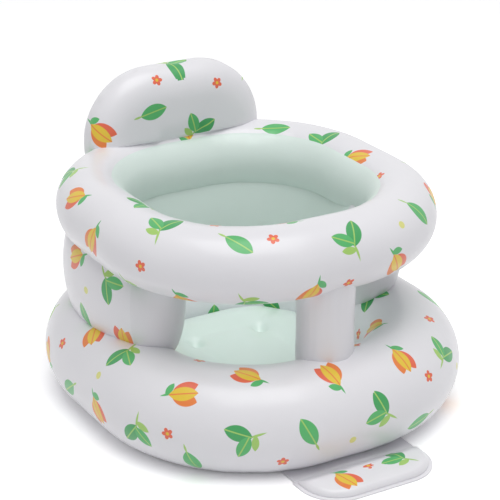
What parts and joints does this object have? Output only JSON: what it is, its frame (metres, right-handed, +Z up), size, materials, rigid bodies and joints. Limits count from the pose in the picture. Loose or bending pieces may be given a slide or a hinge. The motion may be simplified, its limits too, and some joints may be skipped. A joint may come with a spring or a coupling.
{
  "type": "baby floor seat",
  "caption": "Inflatable floor seat for a baby: base ring, arm ring on a C-shaped wall, crotch post, headrest, foot pump flap and rear air valves.",
  "frame": {"origin": "on the floor under the middle of the seat, where the bottom sheet rests", "axes": "+Z up, -Y towards the front with the leg openings and the pump flap, +X to the right as seen from the front"},
  "size_m": [0.434, 0.5188, 0.338],
  "materials": {
    "printed_film": "white PVC film with a satin gloss and a scattered leaf, tulip, blossom and dot print",
    "white_film": "plain white PVC film, satin gloss",
    "mint_film": "pale mint green PVC film, satin",
    "soft_valve": "translucent soft moulded PVC",
    "pump_foam": "open-cell foam inside the foot pump, not seen from outside"
  },
  "bodies": {
    "seat": {"base_ring": "printed_film", "floor_sheet": "white_film", "seat_cushion": "mint_film", "wall_outer_panel": "printed_film", "wall_inner_panel": "mint_film", "leg_opening_panels": "white_film", "arm_ring_print_panel": "printed_film", "arm_ring_mint_panel": "mint_film", "crotch_post": "white_film", "headrest": "printed_film", "pump_duct": "white_film", "base_valve_seat": "soft_valve", "wall_valve_seat": "soft_valve", "head_valve_seat": "soft_valve"},
    "pump_flap": {"pump_flap_sheet": "white_film", "pump_flap_border": "printed_film", "pump_foam": "pump_foam", "pump_intake_ring": "soft_valve"},
    "pump_pad": {"pump_pad": "printed_film"},
    "base_valve_stem": {"base_valve_stem": "soft_valve"},
    "base_valve_plug": {"base_valve_plug": "soft_valve"},
    "base_valve_check": {"base_valve_check": "soft_valve"},
    "wall_valve_stem": {"wall_valve_stem": "soft_valve"},
    "wall_valve_plug": {"wall_valve_plug": "soft_valve"},
    "wall_valve_check": {"wall_valve_check": "soft_valve"},
    "head_valve_stem": {"head_valve_stem": "soft_valve"},
    "head_valve_plug": {"head_valve_plug": "soft_valve"},
    "head_valve_check": {"head_valve_check": "soft_valve"}
  },
  "joints": [
    {"name": "pump_flap_lift", "type": "hinge", "parent": "seat", "child": "pump_flap", "pos_m": [0, -0.20799, 0.0017], "axis": [-1, 0, 0], "range_deg": [0, 50]},
    {"name": "pump_press", "type": "slide", "parent": "pump_flap", "child": "pump_pad", "axis": [0, 0, -1], "range_m": [0, 0.004], "stiffness_N_per_m": 2000, "deforming": ["pump_foam"]},
    {"name": "base_valve_push", "type": "slide", "parent": "seat", "child": "base_valve_stem", "axis": [0, -1, 0], "range_m": [0, 0.005]},
    {"name": "base_plug_open", "type": "hinge", "parent": "base_valve_stem", "child": "base_valve_plug", "pos_m": [0, 0.2497, 0.0645], "axis": [1, 0, 0], "range_deg": [0, 150]},
    {"name": "base_check_open", "type": "hinge", "parent": "base_valve_stem", "child": "base_valve_check", "pos_m": [0, 0.2257, 0.0604], "axis": [-1, 0, 0], "range_deg": [0, 45]},
    {"name": "wall_valve_push", "type": "slide", "parent": "seat", "child": "wall_valve_stem", "axis": [0, -1, 0], "range_m": [0, 0.005]},
    {"name": "wall_plug_open", "type": "hinge", "parent": "wall_valve_stem", "child": "wall_valve_plug", "pos_m": [0, 0.2317, 0.1595], "axis": [1, 0, 0], "range_deg": [0, 150]},
    {"name": "wall_check_open", "type": "hinge", "parent": "wall_valve_stem", "child": "wall_valve_check", "pos_m": [0, 0.2077, 0.1554], "axis": [-1, 0, 0], "range_deg": [0, 45]},
    {"name": "head_valve_push", "type": "slide", "parent": "seat", "child": "head_valve_stem", "axis": [0, -1, 0], "range_m": [0, 0.005]},
    {"name": "head_plug_open", "type": "hinge", "parent": "head_valve_stem", "child": "head_valve_plug", "pos_m": [0, 0.2287, 0.3025], "axis": [1, 0, 0], "range_deg": [0, 150]},
    {"name": "head_check_open", "type": "hinge", "parent": "head_valve_stem", "child": "head_valve_check", "pos_m": [0, 0.2047, 0.2984], "axis": [-1, 0, 0], "range_deg": [0, 45]}
  ]
}
